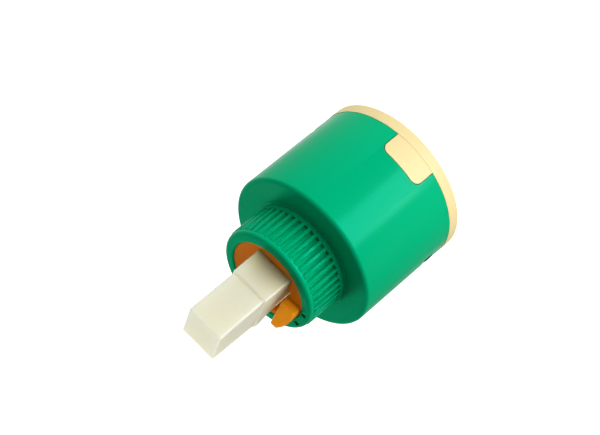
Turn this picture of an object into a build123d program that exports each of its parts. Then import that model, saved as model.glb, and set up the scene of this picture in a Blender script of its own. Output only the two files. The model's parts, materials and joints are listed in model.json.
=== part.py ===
from build123d import *
from math import cos, radians, sin
import os

# Single-lever mixer cartridge, nominal diameter 40 mm, in millimetres.
# The origin is the centre of the base's lower face and +Z runs up the axis, towards the lever.
# The lug of the base points along -Y. The lever stands shut and a little to one side of that lug.

# Barrel and neck of the housing
barrel_r = 20.0
barrel_in_r = 18.3
flange_r = 20.05
flange_h = 2.85
shoulder_z = 31.6
shoulder_round = 1.0
shoulder_under_z = 29.8
ring_r = 14.1
ring_h = 0.25
neck_r = 13.1
neck_top_z = 42.8
neck_bore_r = 10.41
lip_round = 1.0
lip_in_round = 0.5

# Ribs round the neck, with grooves between them that run out upwards
rib_r = 13.35
rib_top_z = 41.75
groove_count = 44
groove_first_angle = 5.9
groove_low_z = 33.0
groove_low_r = 12.45
groove_end_z = 40.75
groove_end_r = 13.12
groove_low_half_w = 0.39
groove_slant = 0.2

# Square dents in the lip
dent_angles = (169.2, 193.4)
dent_mid_r = 11.6
dent_w = 1.0
dent_depth = 1.0

# Rotor and its turning range either side of the lug's centre line
rotor_r = 10.33
rotor_face_z = 42.4
rotor_flange_r = 17.9
rotor_flange_low_z = 19.3
rotor_flange_top_z = 29.0
rest_turn = 10.2
turn_each_way = 50.0
stop_half_angle = 7.0
stop_in_r = 16.5
stop_low_z = 24.6
notch_r = 16.2

# Lever, its pin and its foot
pivot_z = 35.5
pin_r = 1.6
pin_play = 0.05
eye_r = 3.4
lever_travel = 25.0
arm_length = 15.5
foot_r = 2.5
foot_half_w = 3.6
root_half_w = 5.05
root_top_z = 50.15
crease_z = 50.75
tip_z = 64.15

# Ceramic discs, carrier and base, from the bottom up
core_r = 18.2
core_top_z = 11.0
pocket_r = 15.35
pocket_z = 7.8
fixed_disc_r = 15.2
fixed_disc_z = 8.0
sliding_face_z = 12.0
carrier_z = 16.0
moving_disc_r = 13.5
carrier_plate_r = 13.9
carrier_plate_top_z = 19.0
carrier_top_z = 24.0
block_half_w = 6.9
block_half_t = 8.0
channel_half_w = 7.0
channel_top_z = 24.6
key_half_w = 2.2

# Water ways
inlet_pitch_r = 7.4
inlet_angle = 45.0
inlet_r = 3.1
outlet_y = 5.8
outlet_r = 4.0
seal_wall = 1.4
seal_stand = 0.6
seal_pocket_h = 1.6
chamber_w = 9.0
chamber_len = 15.2
screen_w = 10.4
screen_len = 16.6

# Locating pegs under the base
peg_r = 2.2
peg_h = 3.2
peg_x = 14.6

# Lug and its cut-out, windows and the hooks that snap into them
lug_half_w = 5.83
lug_corner_r = 2.0
lug_top_z = 8.75
lug_gap = 0.16
window_half_w = 4.0
window_low_z = 7.3
window_top_z = 10.3

hook_r = 19.6
hook_play = 0.15
key_in_x = 13.9
disc_play = 0.1
seal_play = 0.05
coring_r = 15.0
coring_w = 3.0
coring_h = 5.0
slot_r = 7.2
slot_w = 3.6

# Sliding parts
lug_in_w = 11.3
lug_half_t = 2.4
lug_low_z = 13.4
screen_z = 14.8
screen_h = 1.0
screen_play = 0.1
screen_pitch = 1.8
screen_slot_len = 7.4
socket_z = 17.2
foot_play = 0.1
gasket_len = 19.6
gasket_w = 13.4
gasket_in_len = 17.2
gasket_in_w = 11.0
gasket_h = 1.2

# Rotor's slots, groove and stop finger
stop_play_angle = 0.5
ring_z = 30.9
ring_groove_r = 8.9
ring_groove_h = 1.6
ring_wire_r = 0.74
slide_ring_r = 16.0
slide_ring_in_r = 11.5
slide_ring_play = 0.05
arm_slot_half_w = 3.8
arm_slot_half_t = 5.3
cavity_floor_z = 31.9
slot_half_w = 5.15
slot_half_t = 7.75
wide_slot_z = 38.5
wide_slot_w = 6.25
wide_slot_t = 3.6
finger_r = 10.3
finger_root = 0.5
finger_front_w = 6.05
finger_front_t = 1.2
finger_front_z = 44.7
finger_brow_t = 0.1
finger_brow_z = 45.1
finger_end_t = -6.2
finger_end_w = 6.45
finger_end_z = 46.5
finger_corner = 0.45
finger_ease = 0.3
tick_t = -3.0
tick_in_w = 6.2
tick_out_w = 7.1
tick_w = 0.22
tick_depth = 0.2
pin_half_len = 10.1

# Lever's outline
root_front_t = 7.3
root_foot_t = 7.6
root_back_t = -5.8
relief_t = -2.5
relief_low_z = 44.0
handle_half_w = 4.76
handle_front_t = 7.05
handle_back_t = -5.6
tip_half_w = 4.85
tip_front_t = 6.75
tip_back_t = -4.45
tip_slope = 0.25
handle_round = 0.45
root_round = 0.4
arm_top_half = 2.4
arm_low_half = 1.6
arm_waist = 9.5

os.makedirs("parts", exist_ok=True)

# The turning parts are drawn in the rotor's own plane: local x is the pivot's direction, w, and
# local y is the direction that the lever leans towards when shut, t.
turret_angle = rest_turn + 180.0
w_dir = Vector(cos(radians(turret_angle)), sin(radians(turret_angle)), 0)
t_dir = Vector(-w_dir.Y, w_dir.X, 0)
side = Plane(origin=(0, 0, 0), x_dir=t_dir, z_dir=w_dir)

# The foot swings equally to both sides of the axis, so the discs slide equally to both sides too.
foot_swing = lever_travel / 2
slide_each_way = arm_length * sin(radians(foot_swing))
foot_rest_z = pivot_z - arm_length * cos(radians(foot_swing))
rest_shift = -slide_each_way


def turret(height):
    return Plane(origin=(0, 0, height), x_dir=w_dir, z_dir=(0, 0, 1))


def carriage(height):
    # The sliding parts' own plane: the turret's, moved to where they rest.
    centre = t_dir * rest_shift + Vector(0, 0, height)
    return Plane(origin=centre, x_dir=w_dir, z_dir=(0, 0, 1))


def finish(builder, label):
    builder.part.label = label
    export_step(builder.part, f"parts/{label}.step")


def ring_seal(label, centre, inner_r, low_z, height):
    with BuildPart() as seal:
        with BuildSketch(Plane.XY.offset(low_z)):
            with Locations(centre):
                Circle(inner_r + seal_wall)
                Circle(inner_r, mode=Mode.SUBTRACT)
        extrude(amount=height)
        fillet(seal.edges().filter_by(GeomType.CIRCLE), seal_wall * 0.3)
    finish(seal, label)


inlet_xy = inlet_pitch_r * sin(radians(inlet_angle))
cold_centre = (inlet_xy, -inlet_xy)
hot_centre = (-inlet_xy, -inlet_xy)
outlet_centre = (0, outlet_y)
ports = [(cold_centre, inlet_r), (hot_centre, inlet_r), (outlet_centre, outlet_r)]

# One groove of the neck: narrower at its floor, which slopes outwards up the neck
with BuildPart() as groove:
    groove_out_r = rib_r + 0.5
    groove_out_half_w = groove_low_half_w + groove_slant * (groove_out_r - groove_low_r)
    with BuildSketch(Plane.XY.offset(groove_low_z)):
        with BuildLine():
            Polyline(
                (groove_low_r, -groove_low_half_w),
                (groove_out_r, -groove_out_half_w),
                (groove_out_r, groove_out_half_w),
                (groove_low_r, groove_low_half_w),
                close=True,
            )
        make_face()
    extrude(amount=rib_top_z + 0.3 - groove_low_z)
    with BuildSketch(Plane.XZ):
        with BuildLine():
            Polyline(
                (groove_low_r, groove_low_z),
                (groove_end_r, groove_end_z),
                (groove_end_r, neck_top_z),
                (groove_low_r - 1, neck_top_z),
                (groove_low_r - 1, groove_low_z),
                close=True,
            )
        make_face()
    extrude(amount=groove_out_half_w + 1, both=True, mode=Mode.SUBTRACT)

# Housing: barrel, shoulder and ribbed neck in one moulding, open below
with BuildPart() as housing:
    with BuildSketch(Plane.XZ):
        with BuildLine():
            Polyline(
                (neck_bore_r, neck_top_z - lip_in_round),
                (neck_bore_r, shoulder_under_z),
                (barrel_in_r, shoulder_under_z),
                (barrel_in_r, flange_h),
                (barrel_r, flange_h),
                (barrel_r, shoulder_z - shoulder_round),
            )
            RadiusArc(
                (barrel_r, shoulder_z - shoulder_round),
                (barrel_r - shoulder_round, shoulder_z),
                -shoulder_round,
            )
            Polyline(
                (barrel_r - shoulder_round, shoulder_z),
                (ring_r, shoulder_z),
                (ring_r, shoulder_z + ring_h),
                (rib_r, shoulder_z + ring_h),
                (rib_r, rib_top_z),
                (neck_r, rib_top_z),
                (neck_r, neck_top_z - lip_round),
            )
            RadiusArc((neck_r, neck_top_z - lip_round), (neck_r - lip_round, neck_top_z), -lip_round)
            Line((neck_r - lip_round, neck_top_z), (neck_bore_r + lip_in_round, neck_top_z))
            RadiusArc(
                (neck_bore_r + lip_in_round, neck_top_z),
                (neck_bore_r, neck_top_z - lip_in_round),
                -lip_in_round,
            )
        make_face()
    revolve(axis=Axis.Z)
    # The rotor's stop, opposite the lug
    with BuildSketch(Plane.XY.offset(stop_low_z)):
        with BuildLine():
            stop_start = 90 - stop_half_angle
            inner = CenterArc((0, 0), stop_in_r, stop_start, 2 * stop_half_angle)
            outer = CenterArc((0, 0), barrel_in_r + 0.5, stop_start, 2 * stop_half_angle)
            Line(inner @ 0, outer @ 0)
            Line(inner @ 1, outer @ 1)
        make_face()
    extrude(amount=shoulder_under_z - stop_low_z)
    # Cut-out for the base's lug, with its far corners rounded
    with BuildSketch(Plane.XZ.offset(core_r - 2)) as lug_gap_outline:
        with Locations((0, (flange_h + lug_top_z + lug_gap) / 2)):
            Rectangle(2 * (lug_half_w + lug_gap), lug_top_z + lug_gap - flange_h)
        fillet(lug_gap_outline.vertices().group_by(Axis.Y)[-1], lug_corner_r)
    extrude(amount=6, mode=Mode.SUBTRACT)
    # Windows that the base's hooks snap into
    with BuildSketch(Plane.YZ):
        with Locations((0, (window_low_z + window_top_z) / 2)):
            Rectangle(2 * window_half_w, window_top_z - window_low_z)
    extrude(amount=barrel_r + 1, both=True, mode=Mode.SUBTRACT)
    with PolarLocations(0, groove_count, start_angle=groove_first_angle):
        add(groove.part, mode=Mode.SUBTRACT)
    with BuildSketch(Plane.XY.offset(neck_top_z - dent_depth)):
        for angle in dent_angles:
            with PolarLocations(dent_mid_r, 1, start_angle=angle):
                Rectangle(dent_w, dent_w)
    extrude(amount=2 * dent_depth, mode=Mode.SUBTRACT)
finish(housing, "housing")

# Base: flange, core, disc pocket, ports, lug, hooks and pegs in one moulding
with BuildPart() as base:
    with BuildSketch(Plane.XZ.offset(core_r - 2)) as lug_outline:
        with Locations((0, lug_top_z / 2)):
            Rectangle(2 * lug_half_w, lug_top_z)
        fillet(lug_outline.vertices().group_by(Axis.Y)[-1], lug_corner_r)
    extrude(amount=6)
    with BuildSketch():
        Circle(barrel_r)
    extrude(amount=lug_top_z, mode=Mode.INTERSECT)
    with BuildSketch():
        Circle(flange_r)
    extrude(amount=flange_h)
    with BuildSketch(Plane.XY.offset(flange_h)):
        Circle(core_r)
    extrude(amount=core_top_z - flange_h)
    # Hooks, sloped above and square below
    with BuildSketch(Plane.XZ):
        with BuildLine():
            Polyline(
                (core_r - 0.5, window_low_z + hook_play),
                (hook_r, window_low_z + hook_play),
                (hook_r, window_low_z + 0.9),
                (core_r, window_top_z - 0.3),
                (core_r - 0.5, window_top_z - 0.3),
                close=True,
            )
        make_face()
        mirror(about=Plane.YZ)
    extrude(amount=window_half_w - hook_play, both=True)
    # Pocket for the fixed disc, with a key at each side
    with BuildSketch(Plane.XY.offset(pocket_z)):
        Circle(pocket_r)
        with Locations((key_in_x + 2, 0), (-key_in_x - 2, 0)):
            Rectangle(4, 2 * (key_half_w - 0.2), mode=Mode.SUBTRACT)
    extrude(amount=core_top_z - pocket_z, mode=Mode.SUBTRACT)
    # Ports, each with a seal pocket above and below
    for centre, port_r in ports:
        with BuildSketch():
            with Locations(centre):
                Circle(port_r)
        extrude(amount=pocket_z, mode=Mode.SUBTRACT)
        for low_z in (0, pocket_z - seal_pocket_h):
            with BuildSketch(Plane.XY.offset(low_z)):
                with Locations(centre):
                    Circle(port_r + seal_wall + seal_play)
            extrude(amount=seal_pocket_h, mode=Mode.SUBTRACT)
    # Cored-out pockets in the thick rim
    with BuildSketch():
        for start in (24, 104, 204, 284):
            SlotArc(CenterArc((0, 0), coring_r, start, 52), coring_w)
    extrude(amount=coring_h, mode=Mode.SUBTRACT)
    # Locating pegs
    with BuildSketch():
        with Locations((peg_x, 0), (-peg_x, 0)):
            Circle(peg_r)
    pegs = extrude(amount=-peg_h)
    chamfer(pegs.edges().group_by(Axis.Z)[0], 0.5)
finish(base, "base")

# Seals: one at each end of each port
for name, centre, port_r in (
    ("cold", cold_centre, inlet_r),
    ("hot", hot_centre, inlet_r),
    ("outlet", outlet_centre, outlet_r),
):
    seal_low_z = pocket_z - seal_pocket_h
    ring_seal(f"{name}_disc_seal", centre, port_r, seal_low_z, fixed_disc_z - seal_low_z)
    ring_seal(f"{name}_base_seal", centre, port_r, -seal_stand, seal_pocket_h + seal_stand)

# Fixed ceramic disc
with BuildPart() as fixed_disc:
    with BuildSketch(Plane.XY.offset(fixed_disc_z)):
        Circle(fixed_disc_r)
        with Locations((key_in_x + 2, 0), (-key_in_x - 2, 0)):
            Rectangle(4 + 2 * disc_play, 2 * key_half_w, mode=Mode.SUBTRACT)
        with Locations(outlet_centre):
            Circle(outlet_r, mode=Mode.SUBTRACT)
        for middle in (270 - inlet_angle, 270 + inlet_angle):
            SlotArc(CenterArc((0, 0), slot_r, middle - 7, 14), slot_w, mode=Mode.SUBTRACT)
    extrude(amount=sliding_face_z - fixed_disc_z)
    rounds = fixed_disc.edges().filter_by(GeomType.CIRCLE)
    chamfer(rounds.filter_by(lambda e: e.radius == fixed_disc_r), 0.3)
finish(fixed_disc, "fixed_disc")

# Moving ceramic disc, with the mixing chamber through it and notches for the carrier's lugs
with BuildPart() as moving_disc:
    with BuildSketch(carriage(sliding_face_z)):
        Circle(moving_disc_r)
        SlotOverall(chamber_len, chamber_w, rotation=90, mode=Mode.SUBTRACT)
        with Locations((lug_in_w + 2, 0), (-lug_in_w - 2, 0)):
            Rectangle(4 + 2 * disc_play, 2 * (lug_half_t + disc_play), mode=Mode.SUBTRACT)
    extrude(amount=carrier_z - sliding_face_z)
    with BuildSketch(carriage(screen_z)):
        SlotOverall(screen_len, screen_w, rotation=90)
    extrude(amount=carrier_z - screen_z, mode=Mode.SUBTRACT)
finish(moving_disc, "moving_disc")

# Noise screen, let into the chamber's upper rim
with BuildPart() as noise_screen:
    with BuildSketch(carriage(screen_z)):
        SlotOverall(screen_len - 2 * screen_play, screen_w - 2 * screen_play, rotation=90)
        with GridLocations(0, screen_pitch, 1, 7):
            SlotOverall(screen_slot_len, screen_pitch / 2, mode=Mode.SUBTRACT)
    extrude(amount=screen_h)
finish(noise_screen, "noise_screen")

# Carrier: a round plate with a block that slides in the rotor and a socket for the lever's foot
with BuildPart() as disc_carrier:
    with BuildSketch(carriage(carrier_z)):
        Circle(carrier_plate_r)
    extrude(amount=carrier_plate_top_z - carrier_z)
    with BuildSketch(carriage(carrier_plate_top_z)):
        Rectangle(2 * block_half_w, 2 * block_half_t)
    extrude(amount=carrier_top_z - carrier_plate_top_z)
    with BuildSketch(carriage(lug_low_z)):
        with Locations((lug_in_w + 1, 0), (-lug_in_w - 1, 0)):
            Rectangle(2 - disc_play, 2 * lug_half_t)
    extrude(amount=carrier_z - lug_low_z)
    with BuildSketch(carriage(socket_z)):
        Rectangle(2 * (foot_half_w + foot_play), 2 * (foot_r + foot_play))
    extrude(amount=carrier_top_z - socket_z, mode=Mode.SUBTRACT)
    mouth = disc_carrier.edges().filter_by_position(Axis.Z, carrier_top_z, carrier_top_z)
    mouth = mouth.filter_by(lambda e: e.length < 2 * block_half_w - 1)
    chamfer(mouth, 0.4)
    with BuildSketch(carriage(carrier_z)):
        SlotOverall(gasket_len, gasket_w, rotation=90)
        SlotOverall(gasket_in_len, gasket_in_w, rotation=90, mode=Mode.SUBTRACT)
    extrude(amount=gasket_h, mode=Mode.SUBTRACT)
finish(disc_carrier, "disc_carrier")

# Gasket between the carrier and the moving disc
with BuildPart() as carrier_gasket:
    with BuildSketch(carriage(carrier_z)):
        SlotOverall(gasket_len, gasket_w, rotation=90)
        SlotOverall(gasket_in_len, gasket_in_w, rotation=90, mode=Mode.SUBTRACT)
    extrude(amount=gasket_h)
finish(carrier_gasket, "carrier_gasket")

# Rotor's stop finger, with a sloping top, eased edges and a tick across its inner edge
with BuildPart() as finger:
    with BuildSketch(turret(rotor_face_z - finger_root)):
        Circle(finger_r)
        with BuildLine():
            Polyline(
                (finger_front_w, finger_front_t),
                (finger_r + 2, finger_front_t),
                (finger_r + 2, finger_end_t),
                (finger_end_w, finger_end_t),
                close=True,
            )
        make_face(mode=Mode.INTERSECT)
    extrude(amount=finger_end_z + 1 - rotor_face_z + finger_root)
    uprights = finger.edges().filter_by(Axis.Z)
    chamfer(uprights.sort_by(lambda e: e.center().dot(w_dir))[-1], finger_corner)
    finger_rise = (finger_end_z - finger_brow_z) / (finger_brow_t - finger_end_t)
    with BuildSketch(side):
        with BuildLine():
            Polyline(
                (finger_front_t + 1, finger_front_z),
                (finger_front_t, finger_front_z),
                (finger_brow_t, finger_brow_z),
                (finger_end_t - 1, finger_end_z + finger_rise),
                (finger_end_t - 1, finger_end_z + 3),
                (finger_front_t + 1, finger_end_z + 3),
                close=True,
            )
        make_face()
    extrude(amount=finger_r + 1, both=True, mode=Mode.SUBTRACT)
    top_rim = finger.faces().sort_by(Axis.Z)[-1].edges()
    chamfer(top_rim.filter_by(lambda e: e.center().dot(t_dir) < finger_brow_t - 1), finger_ease)
    tick_z = finger_brow_z + finger_rise * (finger_brow_t - tick_t)
    with BuildSketch(turret(tick_z - tick_depth)):
        with Locations(((tick_in_w - 1 + tick_out_w) / 2, tick_t)):
            Rectangle(tick_out_w - tick_in_w + 1, tick_w)
    extrude(amount=1, mode=Mode.SUBTRACT)

# Rotor: flange, neck, slots, pin hole and stop finger in one moulding
with BuildPart() as rotor:
    with BuildSketch(turret(rotor_flange_low_z)):
        Circle(rotor_flange_r)
    extrude(amount=rotor_flange_top_z - rotor_flange_low_z)
    # The gap in the flange that the housing's stop stands in
    with BuildSketch(turret(stop_low_z - 0.3)):
        with BuildLine():
            gap_half_angle = turn_each_way + stop_half_angle + stop_play_angle
            inner = CenterArc((0, 0), notch_r, 270 - gap_half_angle, 2 * gap_half_angle)
            outer = CenterArc((0, 0), rotor_flange_r + 1, 270 - gap_half_angle, 2 * gap_half_angle)
            Line(inner @ 0, outer @ 0)
            Line(inner @ 1, outer @ 1)
        make_face()
    extrude(amount=rotor_flange_top_z - stop_low_z + 0.3, mode=Mode.SUBTRACT)
    with BuildSketch(turret(rotor_flange_top_z)):
        Circle(rotor_r)
    extrude(amount=rotor_face_z - rotor_flange_top_z)
    # O-ring groove
    with BuildSketch(turret(ring_z - ring_groove_h / 2)):
        Circle(rotor_r + 1)
        Circle(ring_groove_r, mode=Mode.SUBTRACT)
    extrude(amount=ring_groove_h, mode=Mode.SUBTRACT)
    # Channel for the carrier's block, and the way up from it for the lever's arm
    with BuildSketch(turret(rotor_flange_low_z)):
        Rectangle(2 * channel_half_w, 3 * rotor_flange_r)
    extrude(amount=channel_top_z - rotor_flange_low_z, mode=Mode.SUBTRACT)
    with BuildSketch(turret(channel_top_z)):
        Rectangle(2 * arm_slot_half_w, 2 * arm_slot_half_t)
    extrude(amount=cavity_floor_z - channel_top_z, mode=Mode.SUBTRACT)
    # Slot that the lever swings in, wider beside the stop finger
    with BuildSketch(turret(cavity_floor_z)):
        Rectangle(2 * slot_half_w, 2 * slot_half_t)
    extrude(amount=rotor_face_z - cavity_floor_z, mode=Mode.SUBTRACT)
    with BuildSketch(turret(wide_slot_z)):
        with BuildLine():
            Polyline(
                (0, -slot_half_t),
                (wide_slot_w, -slot_half_t),
                (wide_slot_w, wide_slot_t),
                (0, wide_slot_t),
                close=True,
            )
        make_face()
    extrude(amount=rotor_face_z - wide_slot_z, mode=Mode.SUBTRACT)
    # Pin hole
    with BuildSketch(side):
        with Locations((0, pivot_z)):
            Circle(pin_r)
    extrude(amount=rotor_r + 1, both=True, mode=Mode.SUBTRACT)
    # Stop finger, standing on the face beside the slot
    add(finger.part)
finish(rotor, "rotor")

# O-ring between the rotor and the neck's bore
with BuildPart() as rotor_oring:
    with BuildSketch(Plane.XZ):
        with Locations((ring_groove_r + ring_wire_r, ring_z)):
            Circle(ring_wire_r)
    revolve(axis=Axis.Z)
finish(rotor_oring, "rotor_oring")

# Slide ring between the rotor's flange and the housing's shoulder
with BuildPart() as slide_ring:
    with BuildSketch(Plane.XY.offset(rotor_flange_top_z + slide_ring_play)):
        Circle(slide_ring_r)
        Circle(slide_ring_in_r, mode=Mode.SUBTRACT)
    extrude(amount=shoulder_under_z - rotor_flange_top_z - 2 * slide_ring_play)
finish(slide_ring, "slide_ring")

# Pin that the lever swings on, held in the rotor
with BuildPart() as lever_pin:
    with BuildSketch(side):
        with Locations((0, pivot_z)):
            Circle(pin_r)
    extrude(amount=pin_half_len, both=True)
    chamfer(lever_pin.edges().filter_by(GeomType.CIRCLE), 0.2)
finish(lever_pin, "lever_pin")

# Lever: tapered square handle end, root in the rotor's slot, eye, arm and foot
foot_centre = (rest_shift, foot_rest_z)
arm_lean = radians(foot_swing)


def along_arm(distance, offset):
    # A point of the arm's outline, from the pivot down the arm and square to it, towards +t
    down_t = -sin(arm_lean)
    down_z = -cos(arm_lean)
    return (distance * down_t - offset * down_z, pivot_z + distance * down_z + offset * down_t)


with BuildPart() as lever:
    # Root
    with BuildSketch(side):
        with BuildLine():
            Polyline(
                (root_back_t, root_top_z - 1),
                (root_back_t, root_top_z),
                (root_front_t, root_top_z),
                (root_foot_t, rotor_face_z),
                (root_foot_t, rotor_face_z - 1.5),
                (eye_r, pivot_z),
                (-eye_r, pivot_z),
                (relief_t, rotor_face_z - 2.5),
                (relief_t, relief_low_z),
            )
            Spline(
                (relief_t, relief_low_z),
                (relief_t - 1.3, relief_low_z + 2.9),
                (root_back_t, root_top_z - 1),
                tangents=[(0, 1), (-0.6, 1)],
            )
        make_face()
        with Locations((0, pivot_z)):
            Circle(eye_r)
    extrude(amount=root_half_w, both=True)
    uprights = lever.edges().filter_by(
        lambda e: e.center().dot(t_dir) > root_front_t
        and e.center().Z > rotor_face_z
        and abs(e.center().dot(w_dir)) > root_half_w - 0.1
    )
    fillet(uprights, root_round)
    # Slanting step between root and handle end
    with BuildSketch(turret(root_top_z)):
        with Locations((0, (root_front_t + root_back_t) / 2)):
            Rectangle(2 * root_half_w, root_front_t - root_back_t)
    with BuildSketch(turret(crease_z)):
        with Locations((0, (handle_front_t + handle_back_t) / 2)):
            Rectangle(2 * handle_half_w, handle_front_t - handle_back_t)
    loft()
    # Handle end
    with BuildSketch(turret(crease_z)):
        with Locations((0, (handle_front_t + handle_back_t) / 2)):
            Rectangle(2 * handle_half_w, handle_front_t - handle_back_t)
    with BuildSketch(turret(tip_z + 1)):
        with Locations((0, (tip_front_t + tip_back_t) / 2)):
            Rectangle(2 * tip_half_w, tip_front_t - tip_back_t)
    loft()
    with BuildSketch(side):
        with BuildLine():
            Polyline(
                (tip_back_t - 2, tip_z - tip_slope - 0.1),
                (tip_front_t + 2, tip_z + tip_slope + 0.1),
                (tip_front_t + 2, tip_z + 4),
                (tip_back_t - 2, tip_z + 4),
                close=True,
            )
        make_face()
    extrude(amount=2 * tip_half_w, both=True, mode=Mode.SUBTRACT)
    tip_rim = lever.faces().sort_by(Axis.Z)[-1].edges()
    corners = lever.edges().filter_by(
        lambda e: e.length > tip_z - crease_z - 1 and e.center().Z > crease_z + 4
    )
    fillet(tip_rim + corners, handle_round)
    # Arm and foot
    with BuildSketch(side):
        with BuildLine():
            Polyline(
                along_arm(0, -arm_top_half),
                along_arm(0, arm_top_half),
                along_arm(arm_waist, arm_top_half),
                along_arm(arm_waist + 1.5, arm_low_half),
                along_arm(arm_length, arm_low_half),
                along_arm(arm_length, -arm_low_half),
                along_arm(arm_waist + 1.5, -arm_low_half),
                along_arm(arm_waist, -arm_top_half),
                close=True,
            )
        make_face()
        with Locations(foot_centre):
            Circle(foot_r)
    extrude(amount=foot_half_w, both=True)
    with BuildSketch(side):
        with Locations((0, pivot_z)):
            Circle(pin_r + pin_play)
    extrude(amount=root_half_w + 1, both=True, mode=Mode.SUBTRACT)
finish(lever, "lever")
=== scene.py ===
import json
import math
import bmesh
import bpy
from mathutils import Matrix, Vector


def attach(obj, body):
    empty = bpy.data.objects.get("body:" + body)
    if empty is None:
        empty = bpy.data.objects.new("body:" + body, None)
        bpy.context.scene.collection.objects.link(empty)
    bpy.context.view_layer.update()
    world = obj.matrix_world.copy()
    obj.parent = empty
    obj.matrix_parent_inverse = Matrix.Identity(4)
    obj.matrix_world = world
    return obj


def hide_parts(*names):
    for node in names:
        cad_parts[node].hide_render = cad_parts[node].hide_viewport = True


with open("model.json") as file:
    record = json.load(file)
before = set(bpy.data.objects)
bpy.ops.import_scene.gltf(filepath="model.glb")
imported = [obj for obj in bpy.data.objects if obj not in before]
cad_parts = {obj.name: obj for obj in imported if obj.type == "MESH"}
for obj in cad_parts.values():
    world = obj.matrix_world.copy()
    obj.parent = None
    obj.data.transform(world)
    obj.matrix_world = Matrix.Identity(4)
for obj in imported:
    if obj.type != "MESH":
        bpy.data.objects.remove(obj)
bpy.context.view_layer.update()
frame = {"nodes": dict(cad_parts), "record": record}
scene = bpy.context.scene
mm = 0.001

# Directions: sideways and towards lie level as the camera sees them, wide and lean belong to the rotor
sideways = Vector((math.cos(math.radians(176.8)), math.sin(math.radians(176.8)), 0))
towards = Vector((math.cos(math.radians(266.8)), math.sin(math.radians(266.8)), 0))
wide = Vector((math.cos(math.radians(190.2)), math.sin(math.radians(190.2)), 0))
lean = Vector((-wide.y, wide.x, 0))


# ---- camera and studio

view = {
    "azimuth": -3.2,
    "elevation": 29.41,
    "roll": -129.27,
    "aim": (0.00636, 0.0, 0.0255),
    "distance": 0.4637,
    "lens": 122.0,
}

studio = {
    "floorDrop": 3.2 * mm,
    "floorSize": 3.0,
    "lowBack": 1.0,
    "lowFront": 1.3,
    "darkRight": 0.2,
    "dimLeft": 0.75,
    "highBack": 0.15,
    "highFront": 0.02,
    "highLeft": 0.12,
    "highRight": 0.05,
    "horizon": (0.2, 0.0),
    "lights": {
        "keyLight": {"from": (-0.07, -0.82, 0.57), "away": 1.0, "size": 0.2, "glow": 30.0, "bounces": True},
        "topLight": {"from": (-0.05, -0.25, 0.97), "away": 0.6, "size": 0.38, "glow": 1.2},
        "frontLight": {"from": (0.1, 0.87, -0.49), "away": 0.6, "size": 0.5, "glow": 1.95},
        "sideLight": {"from": (0.95, 0.2, -0.25), "away": 0.6, "size": 0.4, "glow": 1.9},
        "leverLight": {"from": (0.22, -0.5, 0.84), "away": 0.6, "size": 0.3, "glow": 7.0, "only": "lever"},
        "rotorLight": {"from": (0.1, 0.75, 0.62), "away": 0.6, "size": 0.3, "glow": 3.8, "only": "rotor"},
    },
    # The long soft highlight down the barrel, made by a lamp that does nothing else
    "bandLight": {"from": (0.268, 0.827, -0.49), "away": 0.6, "size": 0.36, "glow": 30.0, "bounces": True},
}


def fromView(side, near, up):
    return sideways * side + towards * near + Vector((0, 0, up))


def placeCamera():
    a, e, roll = (math.radians(view[k]) for k in ("azimuth", "elevation", "roll"))
    back = Vector((math.sin(a) * math.cos(e), -math.cos(a) * math.cos(e), math.sin(e)))
    right = Vector((math.cos(a), math.sin(a), 0))
    up = back.cross(right)
    camX = right * math.cos(roll) + up * math.sin(roll)
    camY = back.cross(camX)
    data = bpy.data.cameras.new("camera")
    data.lens = view["lens"]
    data.clip_start = 0.01
    data.clip_end = 20
    camera = bpy.data.objects.new("camera", data)
    turn = Matrix((camX, camY, back)).transposed().to_4x4()
    camera.matrix_world = Matrix.Translation(Vector(view["aim"]) + back * view["distance"]) @ turn
    scene.collection.objects.link(camera)
    scene.camera = camera


class Value:
    # A socket that adds its own Math nodes when it is used in a sum
    def __init__(self, graph, socket):
        self.graph = graph
        self.socket = socket

    def maths(self, operation, first, second):
        return self.graph.add("ShaderNodeMath", {"operation": operation}, {0: first, 1: second})

    def __add__(self, other):
        return self.maths("ADD", self, other)

    def __radd__(self, other):
        return self.maths("ADD", other, self)

    def __sub__(self, other):
        return self.maths("SUBTRACT", self, other)

    def __rsub__(self, other):
        return self.maths("SUBTRACT", other, self)

    def __mul__(self, other):
        return self.maths("MULTIPLY", self, other)

    def __rmul__(self, other):
        return self.maths("MULTIPLY", other, self)

    def __truediv__(self, other):
        return self.maths("DIVIDE", self, other)


class Graph:
    def __init__(self, tree):
        self.tree = tree

    def add(self, kind, settings=None, inputs=None, output=0):
        node = self.tree.nodes.new(kind)
        for key, value in (settings or {}).items():
            setattr(node, key, value)
        for key, value in (inputs or {}).items():
            if isinstance(value, Value):
                self.tree.links.new(value.socket, node.inputs[key])
            else:
                node.inputs[key].default_value = value
        return Value(self, node.outputs[output])

    def place(self):
        return self.add("ShaderNodeTexCoord", output="Object")

    def along(self, vector, direction):
        ends = {0: vector, 1: tuple(direction)}
        return self.add("ShaderNodeVectorMath", {"operation": "DOT_PRODUCT"}, ends, "Value")

    def step(self, value, start, end, low=0.0, high=1.0):
        ends = {"Value": value, "From Min": start, "From Max": end, "To Min": low, "To Max": high}
        return self.add("ShaderNodeMapRange", {"interpolation_type": "SMOOTHSTEP"}, ends)

    def mix(self, factor, first, second, blend="MIX"):
        settings = {"data_type": "RGBA", "blend_type": blend}
        return self.add("ShaderNodeMix", settings, {0: factor, 6: first, 7: second}, 2)

    def noise(self, place, scale, detail=2.0, stretch=(1, 1, 1)):
        if stretch != (1, 1, 1):
            place = self.add("ShaderNodeMapping", {}, {"Vector": place, "Scale": stretch})
        ends = {"Vector": place, "Scale": scale, "Detail": detail}
        return self.add("ShaderNodeTexNoise", {}, ends, "Fac")


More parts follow.
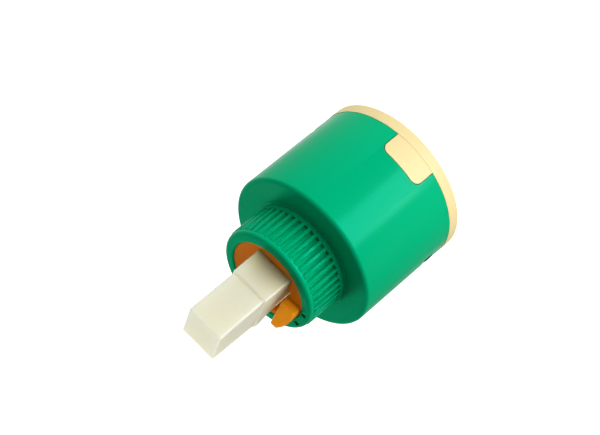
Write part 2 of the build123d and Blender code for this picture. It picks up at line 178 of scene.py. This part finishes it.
def placeLamp(name, lamp):
    data = bpy.data.lights.new(name, "AREA")
    data.size = lamp["size"]
    data.energy = lamp["glow"] * math.pi * lamp["size"] ** 2
    if not lamp.get("bounces"):
        data.cycles.max_bounces = 0
    light = bpy.data.objects.new(name, data)
    out = fromView(*lamp["from"]).normalized()
    turn = out.to_track_quat("Z", "Y").to_matrix().to_4x4()
    light.matrix_world = Matrix.Translation(Vector(view["aim"]) + out * lamp["away"]) @ turn
    light.visible_camera = False
    if "only" in lamp:
        lit = bpy.data.collections.new(name + "Group")
        lit.objects.link(frame["nodes"][lamp["only"]])
        light.light_linking.receiver_collection = lit
    scene.collection.objects.link(light)
    return light


def makeStudio():
    world = bpy.data.worlds.new("studioWalls")
    scene.world = world
    world.use_nodes = True
    walls = Graph(world.node_tree)
    ray = walls.add("ShaderNodeTexCoord", output="Generated")
    near = walls.along(ray, towards)
    up = walls.along(ray, (0, 0, 1))
    side = walls.along(ray, sideways)
    low = walls.step(up, *studio["horizon"])
    lowLevel = walls.step(near, -1.0, 0.9, studio["lowBack"], studio["lowFront"])
    behind = walls.step(near, 0.4, -0.1)
    lowLevel = lowLevel * (1 - behind * walls.step(side, 0.1, 0.5, 0.0, 1 - studio["darkRight"]))
    lowLevel = lowLevel * (1 - behind * walls.step(side, -0.3, -0.6, 0.0, 1 - studio["dimLeft"]))
    highLevel = walls.step(near, -0.7, 0.5, studio["highBack"], studio["highFront"])
    highLevel = highLevel + walls.step(side, 0.0, -0.8, 0.0, studio["highLeft"] - studio["highFront"])
    highLevel = highLevel + walls.step(side, 0.0, 0.8, 0.0, studio["highRight"] - studio["highFront"])
    level = low * lowLevel + (1 - low) * highLevel
    seen = walls.add("ShaderNodeLightPath", output="Is Camera Ray")
    background = world.node_tree.nodes["Background"]
    world.node_tree.links.new((seen + (1 - seen) * level).socket, background.inputs["Strength"])
    background.inputs["Color"].default_value = (1, 1, 1, 1)

    for name, lamp in studio["lights"].items():
        placeLamp(name, lamp).visible_glossy = False
    placeLamp("bandLight", studio["bandLight"]).visible_diffuse = False

    half = studio["floorSize"] / 2
    drop = -studio["floorDrop"]
    mesh = bpy.data.meshes.new("floor")
    corners = [(-half, -half, drop), (half, -half, drop), (half, half, drop), (-half, half, drop)]
    mesh.from_pydata(corners, [], [(0, 1, 2, 3)])
    floor = bpy.data.objects.new("floor", mesh)
    scene.collection.objects.link(floor)
    paper = bpy.data.materials.new("paleFloor")
    paper.use_nodes = True
    shader = paper.node_tree.nodes["Principled BSDF"]
    shader.inputs["Base Color"].default_value = (0.9, 0.9, 0.9, 1)
    shader.inputs["Roughness"].default_value = 0.9
    shader.inputs["Emission Color"].default_value = (1, 1, 1, 1)
    shader.inputs["Emission Strength"].default_value = 1.0
    mesh.materials.append(paper)
    floor.visible_diffuse = False  # the walls light the object from below too
    floor.visible_glossy = False
    floor.visible_shadow = False


placeCamera()
scene.view_settings.view_transform = "Standard"
makeStudio()
print("camera and studio placed")


# ---- materials

finishes = {
    "green_plastic": {
        "colour": (0.0, 0.445, 0.191),
        "rough": 0.22,
        "bend": 1.12,
        "tint": (0.0, 1.0, 0.9),
        "tone": 0.03,
        "streak": (40, 40, 4),
        "grain": 0.02,
    },
    "cream_plastic": {
        "colour": (0.92, 0.76, 0.385),
        "rough": 0.42,
        "bend": 1.15,
        "tint": (1.0, 0.95, 0.8),
        "tone": 0.02,
        "streak": (60, 60, 60),
        "grain": 0.03,
    },
    "natural_plastic": {
        "colour": (0.785, 0.772, 0.615),
        # painted shade and painted orange reflection: the lever's colour turns darker and browner from 51.5
        # mm down to 42.5 mm, towards the rotor
        "paintedShadeColour": (0.76, 0.68, 0.42),
        "paintedShadeFrom": (51.5 * mm, 42.5 * mm),
        "bend": 1.3,
        "glow": 1.0,
        "glowDepth": (6.0 * mm, 5.6 * mm, 4.5 * mm),
        "rough": 0.38,
        "tint": (1.0, 1.0, 0.95),
        "tone": 0.03,
        "streak": (60, 60, 20),
        "grain": 0.03,
    },
    "orange_plastic": {
        "colour": (1.0, 0.34, 0.012),
        # painted shade: the rotor's face, recessed inside the neck and shaded by the lever, is coloured
        # darker from 43.4 mm down to 42.2 mm
        "paintedShadeColour": (0.55, 0.14, 0.004),
        "paintedShadeFrom": (43.4 * mm, 42.2 * mm),
        "glow": 0.5,
        "glowDepth": (2.5 * mm, 1.2 * mm, 0.2 * mm),
        "rough": 0.35,
        "bend": 1.3,
        "tint": (1.0, 0.55, 0.1),
        "tone": 0.05,
        "streak": (80, 80, 80),
        "grain": 0.03,
    },
    "white_plastic": {
        "colour": (0.82, 0.82, 0.8),
        "rough": 0.45,
        "tint": (1, 1, 1),
        "tone": 0.03,
        "streak": (60, 60, 60),
        "grain": 0.03,
    },
    "grey_plastic": {
        "colour": (0.3, 0.31, 0.32),
        "rough": 0.5,
        "tint": (1, 1, 1),
        "tone": 0.06,
        "streak": (60, 60, 60),
        "grain": 0.04,
    },
    "ceramic": {
        "colour": (0.86, 0.85, 0.8),
        "rough": 0.2,
        "tint": (1, 1, 1),
        "tone": 0.03,
        "streak": (200, 200, 200),
        "grain": 0.01,
    },
    "black_rubber": {
        "colour": (0.02, 0.02, 0.021),
        "rough": 0.6,
        "tint": (1, 1, 1),
        "tone": 0.25,
        "streak": (120, 120, 120),
        "grain": 0.06,
    },
    "steel": {
        "colour": (0.62, 0.62, 0.61),
        "rough": 0.25,
        "tint": (1, 1, 1),
        "tone": 0.05,
        "streak": (20, 200, 200),
        "grain": 0.02,
        "metal": 1.0,
    },
}


def paint(name):
    # Moulded material: slow drift of tone, a little uneven gloss and a fine grain; some finishes also get
    # painted shade towards the bottom
    look = finishes[name]
    material = bpy.data.materials.new(name)
    material.use_nodes = True
    tree = material.node_tree
    graph = Graph(tree)
    shader = tree.nodes["Principled BSDF"]
    shader.inputs["IOR"].default_value = look.get("bend", 1.5)
    shader.inputs["Specular Tint"].default_value = (*look["tint"], 1)
    shader.inputs["Metallic"].default_value = look.get("metal", 0.0)
    if "glow" in look:
        shader.inputs["Subsurface Weight"].default_value = look["glow"]
        shader.inputs["Subsurface Radius"].default_value = look["glowDepth"]
        shader.inputs["Subsurface Scale"].default_value = 1.0
    place = graph.place()
    drift = graph.noise(place, 1.0, 2.0, look["streak"])
    fine = graph.noise(place, 4500.0, 3.0)
    colour = (*look["colour"], 1)
    # painted shade: the base colour blends to the darker lower colour towards the bottom
    if "paintedShadeColour" in look:
        height = graph.along(place, (0, 0, 1))
        colour = graph.mix(graph.step(height, *look["paintedShadeFrom"]), colour, (*look["paintedShadeColour"], 1))
    tone = graph.step(drift, 0.3, 0.7, 1 - look["tone"], 1 + look["tone"])
    colour = graph.mix(1.0, colour, tone, "MULTIPLY")
    rough = look["rough"] + (graph.noise(place, 350.0) - 0.5) * 0.08
    ends = {"Strength": look["grain"], "Distance": 0.02 * mm, "Height": fine}
    bump = graph.add("ShaderNodeBump", {}, ends)
    tree.links.new(colour.socket, shader.inputs["Base Color"])
    tree.links.new(rough.socket, shader.inputs["Roughness"])
    tree.links.new(bump.socket, shader.inputs["Normal"])
    return material


materials = {name: paint(name) for name in finishes}
slots = {part["node"]: part["material_slot"] for part in frame["record"]["subparts"]}
for name, node in frame["nodes"].items():
    for place in node.material_slots:
        place.material = materials[slots[name]]
print("materials made:", len(materials))


# ---- housing: lathed shell, cut for the base's lug and hooks, with ribs round its neck

shell = {
    "barrelR": 20.0,
    "barrelInR": 18.3,
    "lowZ": 2.85,
    "shoulderZ": 31.6,
    "shoulderRound": 1.0,
    "shoulderUnderZ": 29.8,
    "ringR": 14.1,
    "ringH": 0.25,
    "ringHollow": 0.15,
    "edge": 0.08,
    "ribR": 13.35,
    "grooveZ": 33.0,
    "grooveR": 12.45,
    "grooveEndZ": 41.1,
    "grooveEndR": 12.8,
    "grooveRunOut": 0.4,
    "neckR": 13.1,
    "neckTopZ": 42.8,
    "lipRound": 1.0,
    "lipInRound": 0.5,
    "boreR": 10.41,
    "segments": 256,
}

lugGap = {"halfW": 5.99, "lowZ": 1.0, "topZ": 8.91, "round": 2.0, "inR": 16.0}
hookWindow = {"halfW": 4.0, "lowZ": 7.3, "topZ": 10.3}
dents = {"angles": (169.2, 193.4), "middleR": 11.6, "width": 1.15, "depth": 1.0}

ribs = {
    "Count": 44,
    "Inner radius": 12.2 * mm,
    "Outer radius": 13.35 * mm,
    "Foot width": 1.07 * mm,
    "Crest width": 0.76 * mm,
    "Low end": 32.5 * mm,
    "High end": 41.95 * mm,
    "End slope": 0.9 * mm,
    "Top inset": 0.7 * mm,
    "First angle": math.radians(5.9 + 180 / 44),
}
ribEdge = 0.09 * mm


def bend(centre, radius, start, end, steps=6):
    # Points of an arc in the lathe's plane, angles in degrees from outwards towards up
    points = []
    for i in range(steps + 1):
        a = math.radians(start + (end - start) * i / steps)
        points.append((centre[0] + radius * math.cos(a), centre[1] + radius * math.sin(a)))
    return points


def shellProfile():
    # Outline from the barrel's foot up the outside, over the lip and down the inside
    s = shell
    edge, shoulderR, lipR, innerR = s["edge"], s["shoulderRound"], s["lipRound"], s["lipInRound"]
    ringTop = s["shoulderZ"] + s["ringH"]
    hollow = s["ringHollow"]
    profile = bend((s["barrelR"] - edge, s["lowZ"] + edge), edge, -90, 0, 3)
    profile += bend((s["barrelR"] - shoulderR, s["shoulderZ"] - shoulderR), shoulderR, 0, 90, 12)
    profile.append((s["ringR"], s["shoulderZ"]))
    profile += bend((s["ringR"] - edge, ringTop - edge), edge, 0, 90, 3)
    profile += bend((s["ribR"] + hollow, ringTop + hollow), hollow, 270, 180, 4)
    profile += bend((s["ribR"] - edge, s["grooveZ"] - edge), edge, 0, 90, 3)
    profile.append((s["grooveR"], s["grooveZ"]))
    profile.append((s["grooveEndR"], s["grooveEndZ"]))
    profile.append((s["neckR"], s["grooveEndZ"] + s["grooveRunOut"]))
    profile += bend((s["neckR"] - lipR, s["neckTopZ"] - lipR), lipR, 0, 90, 12)
    profile += bend((s["boreR"] + innerR, s["neckTopZ"] - innerR), innerR, 90, 180, 6)
    profile.append((s["boreR"], s["shoulderUnderZ"]))
    profile.append((s["barrelInR"], s["shoulderUnderZ"]))
    profile.append((s["barrelInR"], s["lowZ"]))
    return profile


def newObject(name, mesh, material=None):
    piece = bpy.data.objects.new(name, mesh)
    scene.collection.objects.link(piece)
    if material:
        mesh.materials.clear()
        mesh.materials.append(material)
    return piece


def lathe(name, profile, segments):
    verts = []
    faces = []
    count = len(profile)
    for i in range(segments):
        a = 2 * math.pi * i / segments
        verts += [(r * mm * math.cos(a), r * mm * math.sin(a), z * mm) for r, z in profile]
    for i in range(segments):
        here = i * count
        there = (i + 1) % segments * count
        for k in range(count):
            m = (k + 1) % count
            faces.append((here + k, there + k, there + m, here + m))
    mesh = bpy.data.meshes.new(name)
    mesh.from_pydata(verts, [], faces)
    return newObject(name, mesh)


def prism(name, outline, origin, across, up, start, end):
    # Closed bar: the outline in the plane of across and up, pulled along their normal
    normal = across.cross(up)
    verts = []
    for depth in (start, end):
        verts += [(origin + across * x + up * y + normal * depth) * mm for x, y in outline]
    n = len(outline)
    faces = [tuple(range(n))[::-1], tuple(range(n, 2 * n))]
    faces += [(k, (k + 1) % n, n + (k + 1) % n, n + k) for k in range(n)]
    mesh = bpy.data.meshes.new(name)
    mesh.from_pydata([tuple(v) for v in verts], [], faces)
    piece = newObject(name, mesh)
    tidyNormals(mesh)
    return piece


def tidyNormals(mesh, merge=1e-7):
    work = bmesh.new()
    work.from_mesh(mesh)
    bmesh.ops.remove_doubles(work, verts=work.verts, dist=merge)
    bmesh.ops.recalc_face_normals(work, faces=work.faces)
    work.to_mesh(mesh)
    work.free()


def settle(piece, name, material, angle=35):
    # Modifiers become plain mesh, shaded smooth up to the given angle
    graph = bpy.context.evaluated_depsgraph_get()
    mesh = bpy.data.meshes.new_from_object(piece.evaluated_get(graph))
    bpy.data.objects.remove(piece)
    mesh.name = name
    result = newObject(name, mesh, material)
    for face in mesh.polygons:
        face.use_smooth = True
        face.material_index = 0
    mesh.set_sharp_from_angle(angle=math.radians(angle))
    return result


def cut(piece, tools):
    for tool in tools:
        knife = piece.modifiers.new(tool.name, "BOOLEAN")
        knife.operation = "DIFFERENCE"
        knife.solver = "EXACT"
        knife.object = tool


def makeShell():
    piece = lathe("housingShell", shellProfile(), shell["segments"])
    tidyNormals(piece.data)
    middle, x, y, z = Vector((0, 0, 0)), Vector((1, 0, 0)), Vector((0, 1, 0)), Vector((0, 0, 1))
    beyond = shell["barrelR"] + 2
    halfW, corner = lugGap["halfW"], lugGap["round"]
    cornerZ = lugGap["topZ"] - corner
    outline = [(-halfW, lugGap["lowZ"]), (halfW, lugGap["lowZ"])]
    outline += bend((halfW - corner, cornerZ), corner, 0, 90, 10)
    outline += bend((corner - halfW, cornerZ), corner, 90, 180, 10)
    tools = [prism("lugTool", outline, middle, x, z, lugGap["inR"], beyond)]
    halfW, low, high = hookWindow["halfW"], hookWindow["lowZ"], hookWindow["topZ"]
    square = [(-halfW, low), (halfW, low), (halfW, high), (-halfW, high)]
    tools.append(prism("windowTool", square, middle, y, z, -beyond, beyond))
    for k, angle in enumerate(dents["angles"]):
        a = math.radians(angle)
        out = Vector((math.cos(a), math.sin(a), 0))
        half = dents["width"] / 2
        low = shell["neckTopZ"] - dents["depth"]
        square = [(-half, low), (half, low), (half, low + 2), (-half, low + 2)]
        across = Vector((-out.y, out.x, 0))
        tools.append(prism(f"dentTool{k}", square, out * dents["middleR"], across, z, -half, half))
    cut(piece, tools)
    result = settle(piece, "housingShell", materials["green_plastic"])
    for tool in tools:
        bpy.data.objects.remove(tool)
    return result


def makeRibs():
    tree = bpy.data.node_groups.new("neckRibs", "GeometryNodeTree")
    face = tree.interface
    for name, value in ribs.items():
        kind = "NodeSocketInt" if name == "Count" else "NodeSocketFloat"
        face.new_socket(name, in_out="INPUT", socket_type=kind).default_value = value
    face.new_socket("Material", in_out="INPUT", socket_type="NodeSocketMaterial")
    face.new_socket("Geometry", in_out="OUTPUT", socket_type="NodeSocketGeometry")
    graph = Graph(tree)
    group = tree.nodes.new("NodeGroupInput")
    given = {name: Value(graph, group.outputs[name]) for name in list(ribs) + ["Material"]}
    depth = given["Outer radius"] - given["Inner radius"]
    height = given["High end"] - given["Low end"]
    size = graph.add("ShaderNodeCombineXYZ", {}, {0: depth, 1: given["Foot width"], 2: height})
    bar = graph.add("GeometryNodeMeshCube", {}, {"Size": size}, "Mesh")
    spot = graph.add("GeometryNodeInputPosition")
    apart = tree.nodes.new("ShaderNodeSeparateXYZ")
    tree.links.new(spot.socket, apart.inputs[0])
    x, y, z = (Value(graph, apart.outputs[k]) for k in range(3))
    rise = x / depth + 0.5
    narrow = 1 - rise * (1 - given["Crest width"] / given["Foot width"])
    middleR = (given["Outer radius"] + given["Inner radius"]) * 0.5
    middleZ = (given["High end"] + given["Low end"]) * 0.5
    top = z / height + 0.5
    x = x + top * (1 - rise) * given["Top inset"]
    z = z - top * rise * given["End slope"]
    moved = graph.add("ShaderNodeCombineXYZ", {}, {0: x + middleR, 1: y * narrow, 2: z + middleZ})
    bar = graph.add("GeometryNodeSetPosition", {}, {"Geometry": bar, "Position": moved}, "Geometry")
    points = graph.add("GeometryNodeMeshLine", {}, {"Count": given["Count"], "Offset": (0, 0, 0)}, "Mesh")
    index = graph.add("GeometryNodeInputIndex")
    angle = given["First angle"] + index * (2 * math.pi) / given["Count"]
    turn = graph.add("ShaderNodeCombineXYZ", {}, {2: angle})
    turn = graph.add("FunctionNodeEulerToRotation", {}, {0: turn})
    joins = {"Points": points, "Instance": bar, "Rotation": turn}
    ring = graph.add("GeometryNodeInstanceOnPoints", {}, joins)
    ring = graph.add("GeometryNodeRealizeInstances", {}, {"Geometry": ring})
    ring = graph.add("GeometryNodeSetMaterial", {}, {"Geometry": ring, "Material": given["Material"]})
    end = tree.nodes.new("NodeGroupOutput")
    tree.links.new(ring.socket, end.inputs["Geometry"])

    piece = newObject("neckRibs", bpy.data.meshes.new("neckRibs"))
    nodes = piece.modifiers.new("neckRibs", "NODES")
    nodes.node_group = tree
    inputs = {**ribs, "Material": materials["green_plastic"]}
    for item in face.items_tree:
        if item.in_out == "INPUT":
            nodes[item.identifier] = inputs[item.name]
    soften = piece.modifiers.new("soften", "BEVEL")
    soften.width = ribEdge
    soften.segments = 3
    soften.limit_method = "ANGLE"
    return settle(piece, "neckRibs", materials["green_plastic"])


housingShell = makeShell()
neckRibs = makeRibs()
for piece in (housingShell, neckRibs):
    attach(piece, "body")
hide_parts("housing")
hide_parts("housing")
print("housing made:", len(housingShell.data.polygons), "faces, ribs", len(neckRibs.data.polygons))
